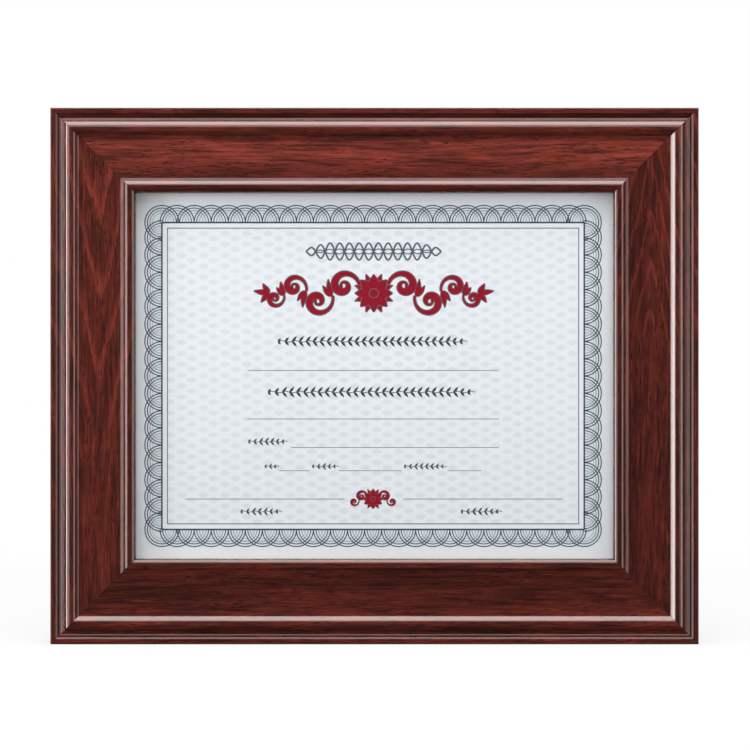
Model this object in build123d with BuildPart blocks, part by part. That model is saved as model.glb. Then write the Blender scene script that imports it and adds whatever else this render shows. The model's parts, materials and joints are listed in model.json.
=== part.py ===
from build123d import *
from math import cos, radians, sin
import os

# A wall and table frame for a landscape certificate, in millimetres.
# X runs across, Z up, and the front faces -Y. The origin is under the middle of the bottom rail.

# The sheet that the frame holds, and its play in the rebate
sheet_width = 279.4
sheet_height = 215.9
sheet_thickness = 0.25
sheet_play_across = 0.6
sheet_play_up = 1.15

# The moulding's section: widths run inward from the outer edge, heights forward from the back
rail_width = 47.7
frame_depth = 22.0
rabbet_width = 7.0
relief_depth = 6.0
foot_strip_width = 6.0
edge_radius = 0.5
outer_fillet_width = 2.95
outer_fillet_drop = 2.7
step_run = 1.05
step_drop = 0.55
step_tread = 0.92
groove_step_run = 0.7
groove_step_drop = 0.25
groove_width = 0.15
groove_wall_run = 1.08
groove_wall_rise = 0.29
quirk_width = 0.45
bead_wall_run = 0.7
bead_slope_run = 0.64
bead_tilt = 42.0
bead_radius = 4.1
crest_width = 1.07
ogee_run = 3.66
ogee_tilt = 42.0
ogee_top_radius = 2.18
ogee_foot_radius = 1.02
inner_step_run = 1.3
inner_step_rise = 0.52
inner_tread_width = 0.25
inner_slope_run = 1.29
inner_tilt = 40.0
inner_radius = 2.22
inner_crest_width = 1.07
sight_round_run = 2.9
sight_round_drop = 2.4
sight_fillet_width = 0.15

# What lies in the rebate, from the front to the back
glass_thickness = 2.0
glass_play = 0.5
card_thickness = 2.5
card_play = 0.5
panel_thickness = 3.0
panel_play = 0.4
stack_play = 0.3

# Steel nails across the mitres
mitre_nail_leg = 5.0
mitre_nail_sheet = 0.5
mitre_nail_depth = 8.0
mitre_nail_proud = 0.2
mitre_nail_place_shares = (0.3, 0.7)

# Turn buttons and their screws
button_thickness = 1.0
button_reach = 13.0
button_pivot_radius = 5.0
button_tip_radius = 3.2
button_setback = 8.0
button_gap = 0.1
button_spread = 80.0
rib_width = 2.2
rib_height = 0.5
rib_round = 0.4
screw_radius = 1.5
screw_length = 8.0
screw_point = 2.0
screw_head_radius = 3.2
screw_head_rim = 0.8
screw_head_dome = 0.9
screw_play = 0.05
recess_length = 3.4
recess_width = 0.75
recess_depth = 1.0
driven_gap = 0.02
dome_flat_radius = 0.3

# The easel leg and its stop hinge
leg_thickness = 3.0
leg_top_width = 32.0
leg_foot_width = 60.0
leg_corner_radius = 4.0
leg_foot_gap = 1.2
leg_top_gap = 0.9
leg_opening = 25.0
hinge_drop = 29.0
hinge_width = 30.0
leaf_thickness = 0.8
leaf_height = 14.0
leaf_gap = 0.15
leaf_edge_gap = 0.4
leaf_corner_radius = 2.5
knuckle_radius = 1.6
knuckle_length = 9.6
knuckle_gap = 0.3
pin_radius = 0.8
pin_play = 0.05
pin_head_radius = 1.25
pin_head_length = 0.7
tongue_width = 6.0
tongue_thickness = 0.8
tongue_clearance = 0.08
rivet_radius = 1.4
rivet_head_radius = 2.7
rivet_head_rim = 0.2
rivet_head_dome = 0.8
rivet_spread = 9.0
rivet_drop = 8.5

# Sawtooth hangers and their nails
hanger_length = 45.0
hanger_height = 7.0
hanger_thickness = 0.8
hanger_lift = 1.8
hanger_tab_length = 7.2
hanger_ramp = 1.8
hanger_edge_gap = 1.5
hanger_corner_radius = 1.5
hanger_hole_inset = 4.0
tooth_pitch = 2.4
tooth_height = 1.7
hanger_nail_radius = 0.65
hanger_nail_length = 8.0
hanger_nail_point = 1.5
hanger_nail_head_radius = 1.7
hanger_nail_head_rim = 0.3
hanger_nail_head_dome = 0.3

# Sizes that follow from these
rebate_width = sheet_width + 2 * sheet_play_across
rebate_height = sheet_height + 2 * sheet_play_up
rebate_start = rail_width - rabbet_width
frame_width = rebate_width + 2 * rebate_start
frame_height = rebate_height + 2 * rebate_start
middle_z = frame_height / 2
back_y = frame_depth / 2
relief_y = back_y - relief_depth
panel_back_y = relief_y - stack_play
card_back_y = panel_back_y - panel_thickness
sheet_back_y = card_back_y - card_thickness
glass_back_y = sheet_back_y - sheet_thickness
lip_y = glass_back_y - glass_thickness
lip_height = back_y - lip_y
behind = Vector(0, 1, 0)


class Side:
    """One side of the frame: its first corner on the back plane, the way that it runs, and the way in."""

    def __init__(self, corner, run, inward, length):
        self.corner = Vector(corner)
        self.run = Vector(run)
        self.inward = Vector(inward)
        self.length = length

    def spot(self, along, inset, height):
        """The point at these distances along from the middle, in from the outer edge and off the back."""
        middle = self.corner + self.run * (self.length / 2)
        return middle + self.run * along + self.inward * inset - behind * height


sides = {
    "bottom": Side((-frame_width / 2, back_y, 0), (1, 0, 0), (0, 0, 1), frame_width),
    "top": Side((frame_width / 2, back_y, frame_height), (-1, 0, 0), (0, 0, -1), frame_width),
    "left": Side((-frame_width / 2, back_y, frame_height), (0, 0, -1), (1, 0, 0), frame_height),
    "right": Side((frame_width / 2, back_y, 0), (0, 0, 1), (-1, 0, 0), frame_height),
}

# Each turn button's side, and its place along the side
button_places = {
    "top_left": ("top", button_spread),
    "top_right": ("top", -button_spread),
    "bottom_left": ("bottom", -button_spread),
    "bottom_right": ("bottom", button_spread),
    "left": ("left", 0),
    "right": ("right", 0),
}
button_inset = rebate_start - button_setback
screw_seat_height = relief_depth - button_gap - button_thickness - button_gap
screw_grip = screw_length - (relief_depth - screw_seat_height)

# The hangers lie just inside the foot strip, at the middle of the sides that hang uppermost
hanger_sides = ("top", "left")
hanger_inset = foot_strip_width + hanger_edge_gap
hanger_nail_places = (hanger_hole_inset - hanger_length / 2, hanger_length / 2 - hanger_hole_inset)
hanger_nail_inset = hanger_inset + hanger_height / 2
hanger_bridge = hanger_length - 2 * (hanger_tab_length + hanger_ramp)
tooth_count = int(hanger_bridge / tooth_pitch) - 2

# The hinge pin's axis, and the leg that hangs from it
pin_y = panel_back_y + leaf_gap + knuckle_radius
pin_z = frame_height - rebate_start - hinge_drop
leg_leaf_back_y = panel_back_y + leaf_gap + leaf_thickness
leg_back_y = leg_leaf_back_y + leg_thickness
leg_top_z = pin_z - knuckle_radius - leg_top_gap
leg_foot_z = foot_strip_width + leg_foot_gap


def facing(y):
    """The plane at this y that faces the front: x runs across, y up, and an extrusion goes forward."""
    return Plane.XZ.offset(-y)


def save(part, name):
    """Labels a finished piece and writes its file."""
    part.label = name
    export_step(part, f"parts/{name}.step")


def draw_moulding():
    """Draws the moulding's closed section: x is the distance in from the outer edge, y the height."""
    fillet_h = frame_depth - outer_fillet_drop
    step_h = fillet_h - step_drop
    groove_h = step_h - groove_step_drop
    quirk_h = groove_h + groove_wall_rise
    step_start = outer_fillet_width + step_run
    groove_start = step_start + step_tread + groove_step_run
    groove_end = groove_start + groove_width
    quirk_start = groove_end + groove_wall_run
    bead_start = quirk_start + quirk_width
    slope_start = bead_start + bead_wall_run
    bead_sin, bead_cos = sin(radians(bead_tilt)), cos(radians(bead_tilt))
    round_start = slope_start + bead_slope_run
    round_h = frame_depth - bead_radius * (1 - bead_cos)
    slope_h = round_h - bead_slope_run * bead_sin / bead_cos
    ogee_sin, ogee_cos = sin(radians(ogee_tilt)), cos(radians(ogee_tilt))
    ogee_straight = (ogee_run - (ogee_top_radius + ogee_foot_radius) * ogee_sin) / ogee_cos
    round_end = rail_width - sight_fillet_width
    inner_crest_end = round_end - sight_round_run
    inner_crest_start = inner_crest_end - inner_crest_width
    inner_sin, inner_cos = sin(radians(inner_tilt)), cos(radians(inner_tilt))
    rise_start = inner_crest_start - inner_radius * inner_sin - inner_slope_run
    step_end = rise_start - inner_tread_width
    panel_end = step_end - inner_step_run
    with BuildSketch() as section:
        with BuildLine():
            outer_face = Line((0, 0), (0, fillet_h - edge_radius))
            outer_edge = JernArc(outer_face @ 1, outer_face % 1, edge_radius, -90)
            Polyline(
                outer_edge @ 1,
                (outer_fillet_width, fillet_h),
                (step_start, step_h),
                (step_start + step_tread, step_h),
                (groove_start, groove_h),
                (groove_end, groove_h),
                (quirk_start, quirk_h),
                (bead_start, quirk_h),
                (slope_start, slope_h),
                (round_start, round_h),
            )
            bead = JernArc((round_start, round_h), (bead_cos, bead_sin), bead_radius, -bead_tilt)
            crest = Line(bead @ 1, bead @ 1 + Vector(crest_width, 0))
            ogee_top = JernArc(crest @ 1, crest % 1, ogee_top_radius, -ogee_tilt)
            ogee_slope = Line(ogee_top @ 1, ogee_top @ 1 + (ogee_top % 1) * ogee_straight)
            ogee_foot = JernArc(ogee_slope @ 1, ogee_slope % 1, ogee_foot_radius, ogee_tilt)
            panel_h = (ogee_foot @ 1).Y
            tread_h = panel_h + inner_step_rise
            inner_round_start = (rise_start + inner_slope_run, tread_h + inner_slope_run * inner_sin / inner_cos)
            Polyline(
                ogee_foot @ 1, (panel_end, panel_h), (step_end, tread_h), (rise_start, tread_h), inner_round_start
            )
            inner_bead = JernArc(inner_round_start, (inner_cos, inner_sin), inner_radius, -inner_tilt)
            inner_crest_h = (inner_bead @ 1).Y
            sight_h = inner_crest_h - sight_round_drop
            Line(inner_bead @ 1, (inner_crest_end, inner_crest_h))
            EllipticalCenterArc(
                (inner_crest_end, sight_h), sight_round_run, sight_round_drop, 0, arc_size=90
            )
            Polyline(
                (round_end, sight_h),
                (rail_width, sight_h),
                (rail_width, lip_height),
                (rebate_start, lip_height),
                (rebate_start, relief_depth),
                (foot_strip_width, relief_depth),
                (foot_strip_width, 0),
                (0, 0),
            )
        make_face()
    return section.sketch


def turn_fastener(radius, length, point, head_radius, head_rim, head_dome):
    """A screw, nail or rivet: a shank below the origin, tapered over its point, with a domed head above."""
    with BuildPart() as fastener:
        with BuildSketch(Plane.XZ):
            with BuildLine():
                Polyline(
                    (dome_flat_radius, head_rim + head_dome),
                    (0, head_rim + head_dome),
                    (0, -length),
                    (radius, point - length),
                    (radius, 0),
                    (head_radius, 0),
                    (head_radius, head_rim),
                )
                EllipticalCenterArc(
                    (dome_flat_radius, head_rim), head_radius - dome_flat_radius, head_dome, 0, arc_size=90
                )
            make_face()
        revolve(axis=Axis.Z)
    return fastener.part


os.makedirs("parts", exist_ok=True)

# Nails across the mitres: each is an angle with one leg in each rail, and fills the slot that it cut
with BuildPart() as corner_v_nails:
    with BuildSketch(facing(relief_y + mitre_nail_proud)):
        for share in mitre_nail_place_shares:
            place = foot_strip_width + share * (rebate_start - foot_strip_width)
            with Locations((place - frame_width / 2, place)):
                Rectangle(mitre_nail_leg, mitre_nail_sheet, align=Align.MIN)
                Rectangle(mitre_nail_sheet, mitre_nail_leg, align=Align.MIN)
    extrude(amount=mitre_nail_depth)
    mirror(about=Plane.YZ)
    mirror(about=Plane.XY.offset(middle_z))
save(corner_v_nails.part, "corner_v_nails")

moulding = draw_moulding()

# The four mitred rails, with the slots and pilot holes of what is driven into their backs
for side_name, side in sides.items():
    with BuildPart() as rail:
        with BuildSketch(Plane(side.corner, x_dir=side.inward, z_dir=side.run)):
            add(moulding)
        extrude(amount=side.length)
        split(bisect_by=Plane(side.corner, z_dir=side.run - side.inward), keep=Keep.TOP)
        far_corner = side.corner + side.run * side.length
        split(bisect_by=Plane(far_corner, z_dir=-side.run - side.inward), keep=Keep.TOP)
        add(corner_v_nails.part, mode=Mode.SUBTRACT)
        for button_side, along in button_places.values():
            if button_side == side_name:
                seat = side.spot(along, button_inset, relief_depth)
                with Locations(Plane(seat, z_dir=behind)):
                    Hole(screw_radius + driven_gap, screw_grip)
        if side_name in hanger_sides:
            for along in hanger_nail_places:
                seat = side.spot(along, hanger_nail_inset, relief_depth)
                with Locations(Plane(seat, z_dir=behind)):
                    Hole(hanger_nail_radius + driven_gap, hanger_nail_length - hanger_thickness)
    save(rail.part, f"{side_name}_rail")

# The glass, the sheet behind it and the card that presses them forward
with BuildPart() as glass_pane:
    with BuildSketch(facing(glass_back_y)):
        with Locations((0, middle_z)):
            Rectangle(rebate_width - 2 * glass_play, rebate_height - 2 * glass_play)
    extrude(amount=glass_thickness)
save(glass_pane.part, "glass_pane")

with BuildPart() as certificate_sheet:
    with BuildSketch(facing(sheet_back_y)):
        with Locations((0, middle_z)):
            Rectangle(sheet_width, sheet_height)
    extrude(amount=sheet_thickness)
save(certificate_sheet.part, "certificate_sheet")

with BuildPart() as backing_card:
    with BuildSketch(facing(card_back_y)):
        with Locations((0, middle_z)):
            Rectangle(rebate_width - 2 * card_play, rebate_height - 2 * card_play)
    extrude(amount=card_thickness)
save(backing_card.part, "backing_card")

# The back panel, with the holes of the two rivets that hold the hinge
with BuildPart() as back_panel:
    with BuildSketch(facing(panel_back_y)):
        with Locations((0, middle_z)):
            Rectangle(rebate_width - 2 * panel_play, rebate_height - 2 * panel_play)
        with Locations((-rivet_spread, pin_z + rivet_drop), (rivet_spread, pin_z + rivet_drop)):
            Circle(rivet_radius + driven_gap, mode=Mode.SUBTRACT)
    extrude(amount=panel_thickness)
save(back_panel.part, "back_panel")

# The turn buttons: a stamped plate from the pivot to the tip, with a pressed rib
for button_name, (side_name, along) in button_places.items():
    side = sides[side_name]
    seat = side.spot(along, button_inset, relief_depth - button_gap)
    button_plane = Plane(seat, x_dir=side.inward.cross(behind), z_dir=behind)
    with BuildPart() as turn_button:
        with BuildSketch(button_plane) as plate:
            Circle(button_pivot_radius)
            with Locations((0, button_reach)):
                Circle(button_tip_radius)
            make_hull(plate.edges())
        extrude(amount=button_thickness)
        with BuildSketch(button_plane.offset(button_thickness)):
            rib_length = button_reach - button_pivot_radius
            with Locations((0, button_pivot_radius + rib_length / 2)):
                SlotCenterToCenter(rib_length, rib_width, rotation=90)
        extrude(amount=rib_height)
        fillet(turn_button.faces().sort_by(Axis.Y)[-1].edges(), rib_round)
        with Locations(button_plane.offset(button_thickness)):
            Hole(screw_radius + screw_play, button_thickness)
    save(turn_button.part, f"turn_button_{button_name}")

# The pan-head screws that the buttons turn on, with a cross recess
screw = turn_fastener(
    screw_radius, screw_length, screw_point, screw_head_radius, screw_head_rim, screw_head_dome
)
with BuildPart() as turn_button_screws:
    for side_name, along in button_places.values():
        seat = sides[side_name].spot(along, button_inset, screw_seat_height)
        with Locations(Plane(seat, z_dir=behind)):
            add(screw)
        with Locations(Plane(seat + behind * (screw_head_rim + screw_head_dome), z_dir=behind)):
            Box(recess_length, recess_width, 2 * recess_depth, mode=Mode.SUBTRACT)
            Box(recess_width, recess_length, 2 * recess_depth, mode=Mode.SUBTRACT)
save(turn_button_screws.part, "turn_button_screws")

# The easel leg: a board that widens towards its foot, with the holes of its two rivets
with BuildPart() as easel_leg:
    with BuildSketch(facing(leg_back_y)) as leg_outline:
        with BuildLine():
            Polyline(
                (-leg_top_width / 2, leg_top_z),
                (leg_top_width / 2, leg_top_z),
                (leg_foot_width / 2, leg_foot_z),
                (-leg_foot_width / 2, leg_foot_z),
                close=True,
            )
        make_face()
        fillet(leg_outline.vertices(), leg_corner_radius)
        with Locations((-rivet_spread, pin_z - rivet_drop), (rivet_spread, pin_z - rivet_drop)):
            Circle(rivet_radius + driven_gap, mode=Mode.SUBTRACT)
    extrude(amount=leg_thickness)
save(easel_leg.part, "easel_leg")


def draw_leaf(way):
    """Draws a leaf's plate and rivet holes about the pin, above it if way is 1 and below if -1."""
    near_z = way * (knuckle_radius + leaf_edge_gap)
    far_z = way * leaf_height
    with BuildSketch() as leaf:
        with BuildLine():
            Polyline(
                (-hinge_width / 2, near_z),
                (hinge_width / 2, near_z),
                (hinge_width / 2, far_z),
                (-hinge_width / 2, far_z),
                close=True,
            )
        make_face()
        fillet(leaf.vertices().sort_by_distance((0, 0))[2:], leaf_corner_radius)
        with Locations((-rivet_spread, way * rivet_drop), (rivet_spread, way * rivet_drop)):
            Circle(rivet_radius + driven_gap, mode=Mode.SUBTRACT)
    return leaf.sketch


# The hinge leaf on the panel, with a knuckle at each end of the pin
outer_knuckle_start = knuckle_length / 2 + knuckle_gap
outer_knuckle_length = hinge_width / 2 - outer_knuckle_start
with BuildPart() as hinge_panel_leaf:
    with BuildSketch(facing(panel_back_y + leaf_thickness)):
        with Locations((0, pin_z)):
            add(draw_leaf(1))
        for align, start in ((Align.MIN, outer_knuckle_start), (Align.MAX, -outer_knuckle_start)):
            with Locations((start, pin_z)):
                Rectangle(
                    outer_knuckle_length, knuckle_radius + leaf_edge_gap, align=(align, Align.MIN)
                )
    extrude(amount=leaf_thickness)
    for start in (-hinge_width / 2, outer_knuckle_start):
        with BuildSketch(Plane.YZ.offset(start)):
            with Locations((pin_y, pin_z)):
                Circle(knuckle_radius)
        extrude(amount=outer_knuckle_length)
    with BuildSketch(Plane.YZ):
        with Locations((pin_y, pin_z)):
            Circle(pin_radius + pin_play)
    extrude(amount=hinge_width, both=True, mode=Mode.SUBTRACT)
save(hinge_panel_leaf.part, "hinge_panel_leaf")

# The hinge leaf on the leg, with the middle knuckle. Its tongue meets the other leaf at full opening.
tongue_front = knuckle_radius - tongue_thickness
leaf_stop = pin_y - panel_back_y - leaf_thickness
tongue_height = (
    tongue_front * cos(radians(leg_opening)) + leaf_stop - tongue_clearance
) / sin(radians(leg_opening))
with BuildPart() as hinge_leg_leaf:
    with BuildSketch(facing(leg_leaf_back_y)):
        with Locations((0, pin_z)):
            add(draw_leaf(-1))
            Rectangle(
                knuckle_length, knuckle_radius + leaf_edge_gap, align=(Align.CENTER, Align.MAX)
            )
    extrude(amount=leaf_thickness)
    with BuildSketch(Plane.YZ.offset(-knuckle_length / 2)):
        with Locations((pin_y, pin_z)):
            Circle(knuckle_radius)
    extrude(amount=knuckle_length)
    with BuildSketch(facing(pin_y + knuckle_radius)):
        with Locations((0, pin_z)):
            Rectangle(tongue_width, tongue_height, align=(Align.CENTER, Align.MIN))
    extrude(amount=tongue_thickness)
    with BuildSketch(Plane.YZ):
        with Locations((pin_y, pin_z)):
            Circle(pin_radius + pin_play)
    extrude(amount=knuckle_length, both=True, mode=Mode.SUBTRACT)
save(hinge_leg_leaf.part, "hinge_leg_leaf")

# The hinge pin, with a peened head past each end knuckle
with BuildPart() as hinge_pin:
    with BuildSketch(Plane.YZ.offset(-hinge_width / 2)):
        with Locations((pin_y, pin_z)):
            Circle(pin_radius)
    extrude(amount=hinge_width)
    with BuildSketch(Plane.YZ.offset(hinge_width / 2)):
        with Locations((pin_y, pin_z)):
            Circle(pin_head_radius)
    extrude(amount=pin_head_length)
    mirror(about=Plane.YZ)
save(hinge_pin.part, "hinge_pin")

# The rivets: a domed head behind, and the other end flush in the board or leaf in front
panel_rivet = turn_fastener(
    rivet_radius, panel_thickness + leaf_thickness, 0, rivet_head_radius, rivet_head_rim, rivet_head_dome
)
leg_rivet = turn_fastener(
    rivet_radius, leg_thickness + leaf_thickness, 0, rivet_head_radius, rivet_head_rim, rivet_head_dome
)
with BuildPart() as hinge_panel_rivets:
    for x in (-rivet_spread, rivet_spread):
        seat = (x, panel_back_y + leaf_thickness, pin_z + rivet_drop)
        with Locations(Plane(seat, z_dir=behind)):
            add(panel_rivet)
save(hinge_panel_rivets.part, "hinge_panel_rivets")

with BuildPart() as hinge_leg_rivets:
    for x in (-rivet_spread, rivet_spread):
        with Locations(Plane((x, leg_back_y, pin_z - rivet_drop), z_dir=behind)):
            add(leg_rivet)
save(hinge_leg_rivets.part, "hinge_leg_rivets")

# The sawtooth hangers: a strip whose middle stands off the rail, with teeth along its inner edge
for side_name in hanger_sides:
    side = sides[side_name]
    foot = side.spot(0, hanger_inset, relief_depth)
    with BuildPart() as hanger:
        with BuildSketch(Plane(foot, x_dir=side.run, z_dir=side.inward)):
            with BuildLine():
                Polyline(
                    (-hanger_length / 2, 0),
                    (-hanger_bridge / 2 - hanger_ramp, 0),
                    (-hanger_bridge / 2, hanger_lift),
                    (hanger_bridge / 2, hanger_lift),
                    (hanger_bridge / 2 + hanger_ramp, 0),
                    (hanger_length / 2, 0),
                    (hanger_length / 2, hanger_thickness),
                    (hanger_bridge / 2 + hanger_ramp, hanger_thickness),
                    (hanger_bridge / 2, hanger_lift + hanger_thickness),
                    (-hanger_bridge / 2, hanger_lift + hanger_thickness),
                    (-hanger_bridge / 2 - hanger_ramp, hanger_thickness),
                    (-hanger_length / 2, hanger_thickness),
                    close=True,
                )
            make_face()
        extrude(amount=hanger_height)
        fillet(hanger.edges().filter_by(Axis.Y), hanger_corner_radius)
        toothed_edge = foot + side.inward * hanger_height
        with BuildSketch(Plane(toothed_edge, x_dir=side.run, z_dir=behind)):
            with GridLocations(tooth_pitch, 0, tooth_count, 1):
                Polygon((-tooth_pitch / 2, 0), (tooth_pitch / 2, 0), (0, tooth_height), align=None)
        extrude(amount=hanger_lift + 2 * hanger_thickness, mode=Mode.SUBTRACT)
        for along in hanger_nail_places:
            seat = side.spot(along, hanger_nail_inset, relief_depth - hanger_thickness)
            with Locations(Plane(seat, z_dir=behind)):
                Hole(hanger_nail_radius + driven_gap, hanger_thickness)
    save(hanger.part, f"sawtooth_hanger_{'side' if side_name == 'left' else side_name}")

# The nails that hold the hangers
hanger_nail = turn_fastener(
    hanger_nail_radius,
    hanger_nail_length,
    hanger_nail_point,
    hanger_nail_head_radius,
    hanger_nail_head_rim,
    hanger_nail_head_dome,
)
with BuildPart() as hanger_nails:
    for side_name in hanger_sides:
        for along in hanger_nail_places:
            seat = sides[side_name].spot(along, hanger_nail_inset, relief_depth - hanger_thickness)
            with Locations(Plane(seat, z_dir=behind)):
                add(hanger_nail)
save(hanger_nails.part, "hanger_nails")
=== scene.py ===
"""Looks of a landscape certificate frame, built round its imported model.

X runs across, Y from the front to the back and Z up, and the front faces -Y. Shapes are worked out in
millimetres and put into the meshes in metres.
"""
import json

import bpy
import numpy as np
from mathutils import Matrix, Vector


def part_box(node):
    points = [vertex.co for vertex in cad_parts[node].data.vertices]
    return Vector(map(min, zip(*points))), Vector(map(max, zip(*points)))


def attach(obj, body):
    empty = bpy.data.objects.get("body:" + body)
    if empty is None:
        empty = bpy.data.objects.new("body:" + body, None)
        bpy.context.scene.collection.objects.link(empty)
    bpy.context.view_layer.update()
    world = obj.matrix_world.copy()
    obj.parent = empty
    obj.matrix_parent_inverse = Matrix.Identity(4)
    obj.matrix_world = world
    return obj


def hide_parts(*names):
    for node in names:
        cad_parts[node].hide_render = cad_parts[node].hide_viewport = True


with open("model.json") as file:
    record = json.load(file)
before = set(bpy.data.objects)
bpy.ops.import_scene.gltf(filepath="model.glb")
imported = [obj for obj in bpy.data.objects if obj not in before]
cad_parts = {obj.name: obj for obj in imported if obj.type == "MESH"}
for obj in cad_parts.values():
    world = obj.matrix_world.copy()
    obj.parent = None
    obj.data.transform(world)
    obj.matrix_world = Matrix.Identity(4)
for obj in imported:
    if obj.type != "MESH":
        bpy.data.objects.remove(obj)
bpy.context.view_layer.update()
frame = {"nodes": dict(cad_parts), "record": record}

# Sizes shared with the model, in millimetres. The moulding's heights are measured forwards from back_y
frame_width = 362.0
frame_height = 299.6
moulding_width = 47.7
back_y = 11.0
lip_height = 14.05
rebate_start = 40.7
relief_depth = 6.0
foot_strip_width = 6.0
sheet_width = 279.4
sheet_height = 215.9
sheet_back_y = -0.80
sheet_front_y = -0.95
middle_z = frame_height / 2

# A millimetre in metres
mm = 0.001
# One unit of the rails' grain map, in millimetres
grain_span = 100.0
# A point of the moulding that is higher than this, in millimetres, belongs to its front
front_level = lip_height + 0.5


# Meshes


def build_piece(name, points, faces, finishes, face_finish=None, crease=None, uv=None):
    """Makes one closed piece from points in millimetres and lists of corner numbers.

    The tetrahedra from the origin to each triangle add up to the volume inside. Where that comes out
    below nothing, the faces point inwards and are turned round.
    """
    mesh = bpy.data.meshes.new(name)
    mesh.from_pydata((np.asarray(points) * mm).tolist(), [], faces)
    mesh.update()
    for finish in finishes:
        mesh.materials.append(finish)
    if face_finish is not None:
        mesh.polygons.foreach_set("material_index", np.asarray(face_finish, np.int32))
    if uv is not None:
        corners = np.zeros(len(mesh.loops), np.int32)
        mesh.loops.foreach_get("vertex_index", corners)
        layer = mesh.uv_layers.new(name="grain")
        layer.data.foreach_set("uv", np.asarray(uv, np.float32)[corners].ravel())
    mesh.calc_loop_triangles()
    triangles = np.zeros(len(mesh.loop_triangles) * 3, np.int32)
    mesh.loop_triangles.foreach_get("vertices", triangles)
    a, b, c = np.asarray(points)[triangles.reshape(-1, 3)].transpose(1, 0, 2)
    if np.einsum("ij,ij->i", a, np.cross(b, c)).sum() < 0:
        mesh.flip_normals()
    if crease is not None:
        mesh.polygons.foreach_set("use_smooth", np.ones(len(mesh.polygons), bool))
        mesh.set_sharp_from_angle(angle=np.radians(crease))
    piece = bpy.data.objects.new(name, mesh)
    bpy.context.scene.collection.objects.link(piece)
    return piece


def block(name, low, high, finish):
    """A closed box between its lowest and its highest corner."""
    ends = np.array([low, high], float)
    across, ahead = ends[[0, 1, 1, 0], 0], ends[[0, 0, 1, 1], 1]
    points = np.concatenate([np.stack([across, ahead, np.full(4, z)], -1) for z in ends[:, 2]])
    faces = [[0, 3, 2, 1], [4, 5, 6, 7], [0, 1, 5, 4], [1, 2, 6, 5], [2, 3, 7, 6], [3, 0, 4, 7]]
    return build_piece(name, points, faces, [finish])


def tube_faces(count, around, closed=False):
    """Four-cornered faces between count rings of around points each, as corner numbers."""
    ring = np.arange(count if closed else count - 1)[:, None]
    point = np.arange(around)[None, :]
    after = (ring + 1) % count
    beside = (point + 1) % around
    here, there = ring * around, after * around
    return np.stack([here + point, here + beside, there + beside, there + point], -1).reshape(-1, 4)


# The moulding


def arc(centre, radii, start, end, count):
    """Points on an ellipse's arc: the centre plus each radius times the cosine or sine of the angle."""
    angle = np.radians(np.linspace(start, end, count))
    return np.stack([centre[0] + radii[0] * np.cos(angle), centre[1] + radii[1] * np.sin(angle)], -1)


def moulding_outline():
    """The moulding's closed section, with each corner eased.

    A corner P between its neighbours is replaced by the curve (1-s)^2 A + 2s(1-s) P + s^2 B, where A and
    B lie on the two sides, as far from P as the corner's easing. Returns the points, as distance in from
    the outer edge and height off the back, and whether the span after each point has the wood foil.
    """
    # Points in mm, their corners' easing in mm, and whether the foil covers them
    runs = [
        # The outer side, and the step down from the outer edge
        ([(0, 0)], 0.3, True),
        ([(0, 19.3)], 0.5, True),
        ([(2.95, 19.3), (4.0, 18.75), (4.92, 18.75)], 0.2, True),
        # The groove
        ([(5.62, 18.5), (5.77, 18.5)], 0.07, True),
        ([(6.85, 18.79)], 0.15, True),
        ([(7.3, 18.79)], 0.08, True),
        # The bead, and its foot on the flat panel
        ([(8.0, 20.371)], 0.15, True),
        (arc((11.383, 17.9), (4.1, 4.1), 132, 90, 9), 0, True),
        (arc((12.453, 19.82), (2.18, 2.18), 90, 48, 8), 0, True),
        (arc((16.113, 20.831), (1.02, 1.02), 228, 270, 6), 0, True),
        # The step up from the panel, and the round moulding at the sight edge
        ([(39.313, 19.811), (40.613, 20.331)], 0.15, True),
        ([(40.863, 20.331)], 0.08, True),
        (arc((43.58, 19.712), (2.22, 2.22), 130, 90, 8), 0, True),
        (arc((44.65, 19.532), (2.9, 2.4), 90, 0, 11), 0, True),
        ([(moulding_width, 19.532)], 0.1, True),
        # The lip, the rebate and the relief behind, all bare
        ([(moulding_width, lip_height)], 0.25, False),
        ([(rebate_start, lip_height), (rebate_start, relief_depth)], 0, False),
        ([(foot_strip_width, relief_depth)], 0, False),
        ([(foot_strip_width, 0)], 0.3, False),
    ]
    corners = np.concatenate([np.asarray(points, float) for points, _, _ in runs])
    easing = np.concatenate([np.full(len(points), ease, float) for points, ease, _ in runs])
    foil = np.concatenate([np.full(len(points), wrapped) for points, _, wrapped in runs])
    before = np.roll(corners, 1, 0) - corners
    after = np.roll(corners, -1, 0) - corners
    before /= np.linalg.norm(before, axis=1, keepdims=True)
    after /= np.linalg.norm(after, axis=1, keepdims=True)
    corner_points = 5
    s = np.linspace(0, 1, corner_points)[None, :, None]
    start = (corners + before * easing[:, None])[:, None]
    end = (corners + after * easing[:, None])[:, None]
    eased = (1 - s) ** 2 * start + 2 * s * (1 - s) * corners[:, None] + s**2 * end
    kept = (easing[:, None] > 0) | (np.arange(corner_points)[None, :] == 0)
    return eased[kept], np.repeat(foil, corner_points).reshape(-1, corner_points)[kept]


def way_round(section):
    """How far each point lies from the first one, along the section."""
    return np.concatenate([[0], np.cumsum(np.linalg.norm(np.diff(section, axis=0), axis=1))])


def round_at(distance):
    """The way round the section to the front at a distance in from the outer edge, all in mm."""
    section = moulding_outline()[0]
    front = section[:, 1] > front_level
    return float(np.interp(distance, section[front, 0], way_round(section)[front]))


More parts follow.
